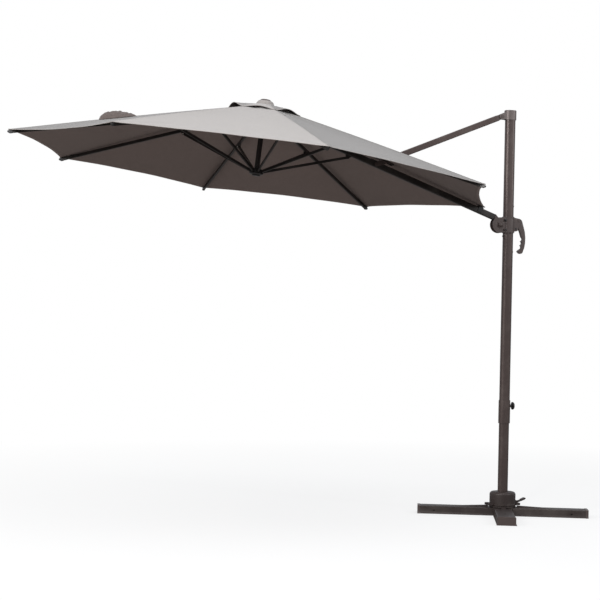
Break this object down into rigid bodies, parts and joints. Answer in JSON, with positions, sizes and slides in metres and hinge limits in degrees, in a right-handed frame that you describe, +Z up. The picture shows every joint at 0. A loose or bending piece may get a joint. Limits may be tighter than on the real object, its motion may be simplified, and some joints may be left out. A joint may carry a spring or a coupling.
{
  "type": "cantilever parasol",
  "caption": "Octagonal offset parasol on a cross base: slider-held boom, pinned upper arm, folding ribs, vented cloth canopy, swivelling mast with foot pedal.",
  "frame": {"origin": "on the floor, on the mast axis, under the centre of the cross base", "axes": "+Z up along the mast; the boom and canopy reach towards -X; Y across"},
  "size_m": [3.6817, 3.0184, 2.5688],
  "materials": {
    "mast_paint": "satin bronze-brown powder coat",
    "frame_paint": "satin dark brown paint",
    "base_paint": "satin brown powder coat",
    "bronze_plastic": "moulded brown plastic, fine grain",
    "black_plastic": "black moulded plastic",
    "zinc_steel": "zinc plated",
    "canopy_cloth": "woven polyester, taupe, darker below"
  },
  "bodies": {
    "base": {"base_hub": "base_paint", "leg_1": "base_paint", "leg_2": "base_paint", "leg_3": "base_paint", "leg_4": "base_paint", "leg_cap_1": "bronze_plastic", "leg_cap_2": "bronze_plastic", "leg_cap_3": "bronze_plastic", "leg_cap_4": "bronze_plastic"},
    "mast": {"turret_cover": "base_paint", "lower_pole": "mast_paint", "sleeve": "mast_paint", "upper_pole": "mast_paint", "mast_cap": "bronze_plastic", "guide_screw_upper": "mast_paint", "guide_screw_lower": "mast_paint"},
    "pedal": {"pedal": "base_paint"},
    "lock_pin": {"lock_pin": "zinc_steel"},
    "knob": {"knob": "black_plastic"},
    "stop_button": {"stop_button": "black_plastic"},
    "upper_arm": {"arm_knuckle": "bronze_plastic", "arm_tube": "mast_paint", "arm_fork": "bronze_plastic"},
    "boom": {"boom_knuckle": "bronze_plastic", "boom_tube": "frame_paint", "arm_bracket": "frame_paint", "boom_tongue": "frame_paint", "rib_tip_5": "black_plastic"},
    "slider": {"slider_body": "bronze_plastic", "pivot_bolt": "bronze_plastic"},
    "handle": {"handle": "bronze_plastic"},
    "brake_shoe": {"brake_shoe": "black_plastic"},
    "head": {"top_hub": "black_plastic", "centre_tube": "frame_paint", "finial": "bronze_plastic", "canopy": "canopy_cloth", "vent_cap": "canopy_cloth"},
    "runner": {"runner": "black_plastic"},
    "strut_5": {"strut_5": "frame_paint"},
    "rib_1": {"rib_1": "frame_paint", "rib_tip_1": "black_plastic"},
    "strut_1": {"strut_1": "frame_paint"},
    "rib_2": {"rib_2": "frame_paint", "rib_tip_2": "black_plastic"},
    "strut_2": {"strut_2": "frame_paint"},
    "rib_3": {"rib_3": "frame_paint", "rib_tip_3": "black_plastic"},
    "strut_3": {"strut_3": "frame_paint"},
    "rib_4": {"rib_4": "frame_paint", "rib_tip_4": "black_plastic"},
    "strut_4": {"strut_4": "frame_paint"},
    "rib_6": {"rib_6": "frame_paint", "rib_tip_6": "black_plastic"},
    "strut_6": {"strut_6": "frame_paint"},
    "rib_7": {"rib_7": "frame_paint", "rib_tip_7": "black_plastic"},
    "strut_7": {"strut_7": "frame_paint"},
    "rib_8": {"rib_8": "frame_paint", "rib_tip_8": "black_plastic"},
    "strut_8": {"strut_8": "frame_paint"}
  },
  "joints": [
    {"name": "mast_swivel", "type": "hinge", "parent": "base", "child": "mast", "pos_m": [0, 0, 0.1], "axis": [0, 0, 1], "continuous": true},
    {"name": "pedal_press", "type": "hinge", "parent": "mast", "child": "pedal", "pos_m": [0.0935, 0, 0.0835], "axis": [0, 1, 0], "range_deg": [0, 20]},
    {"name": "lock_pin_lift", "type": "slide", "parent": "mast", "child": "lock_pin", "axis": [0, 0, 1], "range_m": [0, 0.0083]},
    {"name": "knob_turn", "type": "hinge", "parent": "mast", "child": "knob", "pos_m": [0.05, 0, 0.692], "axis": [1, 0, 0], "range_deg": [0, 720]},
    {"name": "stop_button_press", "type": "slide", "parent": "mast", "child": "stop_button", "axis": [1, 0, 0], "range_m": [0, 0.006]},
    {"name": "arm_swing", "type": "hinge", "parent": "mast", "child": "upper_arm", "pos_m": [-0.062, 0, 2.526], "axis": [0, -1, 0], "range_deg": [-1.71, 39.49]},
    {"name": "boom_swing", "type": "hinge", "parent": "upper_arm", "child": "boom", "pos_m": [-0.89267, 0, 2.183], "axis": [0, 1, 0], "range_deg": [-3.44, 79]},
    {"name": "slider_pivot", "type": "hinge", "parent": "boom", "child": "slider", "pos_m": [-0.062, 0, 1.84], "axis": [0, -1, 0], "range_deg": [-1.72, 39.51]},
    {"name": "handle_pull", "type": "hinge", "parent": "slider", "child": "handle", "pos_m": [0.066, 0, 1.868], "axis": [0, -1, 0], "range_deg": [0, 20]},
    {"name": "brake_release", "type": "slide", "parent": "slider", "child": "brake_shoe", "axis": [1, 0, 0], "range_m": [0, 0.002]},
    {"name": "canopy_fold", "type": "hinge", "parent": "boom", "child": "head", "pos_m": [-1.56185, 0, 2.45452], "axis": [0, -1, 0], "range_deg": [0, 70.96], "deforming": ["canopy"]},
    {"name": "rib_1_fold", "type": "hinge", "parent": "head", "child": "rib_1", "pos_m": [-1.67116, 0, 2.46682], "axis": [0, -1, 0], "range_deg": [0, 70.97]},
    {"name": "strut_1_fold", "type": "hinge", "parent": "rib_1", "child": "strut_1", "pos_m": [-2.19357, 0, 2.37477], "axis": [0, 1, 0], "range_deg": [0, 135.04]},
    {"name": "rib_2_fold", "type": "hinge", "parent": "head", "child": "rib_2", "pos_m": [-1.65515, 0.03889, 2.46502], "axis": [-0.7027, -0.7071, 0.0791], "range_deg": [0, 70.97]},
    {"name": "strut_2_fold", "type": "hinge", "parent": "rib_2", "child": "strut_2", "pos_m": [-2.02946, 0.3987, 2.3563], "axis": [0.7027, 0.7071, -0.0791], "range_deg": [0, 135.04]},
    {"name": "rib_3_fold", "type": "hinge", "parent": "head", "child": "rib_3", "pos_m": [-1.61651, 0.055, 2.46067], "axis": [-0.9937, 0, 0.1118], "range_deg": [0, 70.97]},
    {"name": "strut_3_fold", "type": "hinge", "parent": "rib_3", "child": "strut_3", "pos_m": [-1.63326, 0.56384, 2.31172], "axis": [0.9937, 0, -0.1118], "range_deg": [0, 135.04]},
    {"name": "rib_4_fold", "type": "hinge", "parent": "head", "child": "rib_4", "pos_m": [-1.57786, 0.03889, 2.45632], "axis": [-0.7027, 0.7071, 0.0791], "range_deg": [0, 70.97]},
    {"name": "strut_4_fold", "type": "hinge", "parent": "rib_4", "child": "strut_4", "pos_m": [-1.23707, 0.3987, 2.26714], "axis": [0.7027, -0.7071, -0.0791], "range_deg": [0, 135.04]},
    {"name": "rib_6_fold", "type": "hinge", "parent": "head", "child": "rib_6", "pos_m": [-1.57786, -0.03889, 2.45632], "axis": [0.7027, 0.7071, -0.0791], "range_deg": [0, 70.97]},
    {"name": "strut_6_fold", "type": "hinge", "parent": "rib_6", "child": "strut_6", "pos_m": [-1.23707, -0.3987, 2.26714], "axis": [-0.7027, -0.7071, 0.0791], "range_deg": [0, 135.04]},
    {"name": "rib_7_fold", "type": "hinge", "parent": "head", "child": "rib_7", "pos_m": [-1.61651, -0.055, 2.46067], "axis": [0.9937, 0, -0.1118], "range_deg": [0, 70.97]},
    {"name": "strut_7_fold", "type": "hinge", "parent": "rib_7", "child": "strut_7", "pos_m": [-1.63326, -0.56384, 2.31172], "axis": [-0.9937, 0, 0.1118], "range_deg": [0, 135.04]},
    {"name": "rib_8_fold", "type": "hinge", "parent": "head", "child": "rib_8", "pos_m": [-1.65515, -0.03889, 2.46502], "axis": [0.7027, -0.7071, -0.0791], "range_deg": [0, 70.97]},
    {"name": "strut_8_fold", "type": "hinge", "parent": "rib_8", "child": "strut_8", "pos_m": [-2.02946, -0.3987, 2.3563], "axis": [-0.7027, 0.7071, 0.0791], "range_deg": [0, 135.04]},
    {"name": "strut_5_fold", "type": "hinge", "parent": "boom", "child": "strut_5", "pos_m": [-1.07696, 0, 2.21814], "axis": [0, -1, 0], "range_deg": [0, 140.89]},
    {"name": "runner_level", "type": "hinge", "parent": "strut_5", "child": "runner", "pos_m": [-1.62174, 0, 2.10115], "axis": [0, 1, 0], "range_deg": [0, 69.92]}
  ],
  "couplings": [
    {"joint": "lock_pin_lift", "follows": "pedal_press", "m_per_rad": 0.0235},
    {"joint": "brake_release", "follows": "handle_pull", "m_per_rad": 0.005672},
    {"joint": "boom_swing", "follows": "arm_swing", "ratio": 2},
    {"joint": "slider_pivot", "follows": "arm_swing", "ratio": 1},
    {"joint": "rib_1_fold", "follows": "canopy_fold", "ratio": 1},
    {"joint": "strut_1_fold", "follows": "canopy_fold", "ratio": 1.9028},
    {"joint": "rib_2_fold", "follows": "canopy_fold", "ratio": 1},
    {"joint": "strut_2_fold", "follows": "canopy_fold", "ratio": 1.9028},
    {"joint": "rib_3_fold", "follows": "canopy_fold", "ratio": 1},
    {"joint": "strut_3_fold", "follows": "canopy_fold", "ratio": 1.9028},
    {"joint": "rib_4_fold", "follows": "canopy_fold", "ratio": 1},
    {"joint": "strut_4_fold", "follows": "canopy_fold", "ratio": 1.9028},
    {"joint": "rib_6_fold", "follows": "canopy_fold", "ratio": 1},
    {"joint": "strut_6_fold", "follows": "canopy_fold", "ratio": 1.9028},
    {"joint": "rib_7_fold", "follows": "canopy_fold", "ratio": 1},
    {"joint": "strut_7_fold", "follows": "canopy_fold", "ratio": 1.9028},
    {"joint": "rib_8_fold", "follows": "canopy_fold", "ratio": 1},
    {"joint": "strut_8_fold", "follows": "canopy_fold", "ratio": 1.9028},
    {"joint": "strut_5_fold", "follows": "canopy_fold", "ratio": 1.9852},
    {"joint": "runner_level", "follows": "canopy_fold", "ratio": 0.98519}
  ]
}
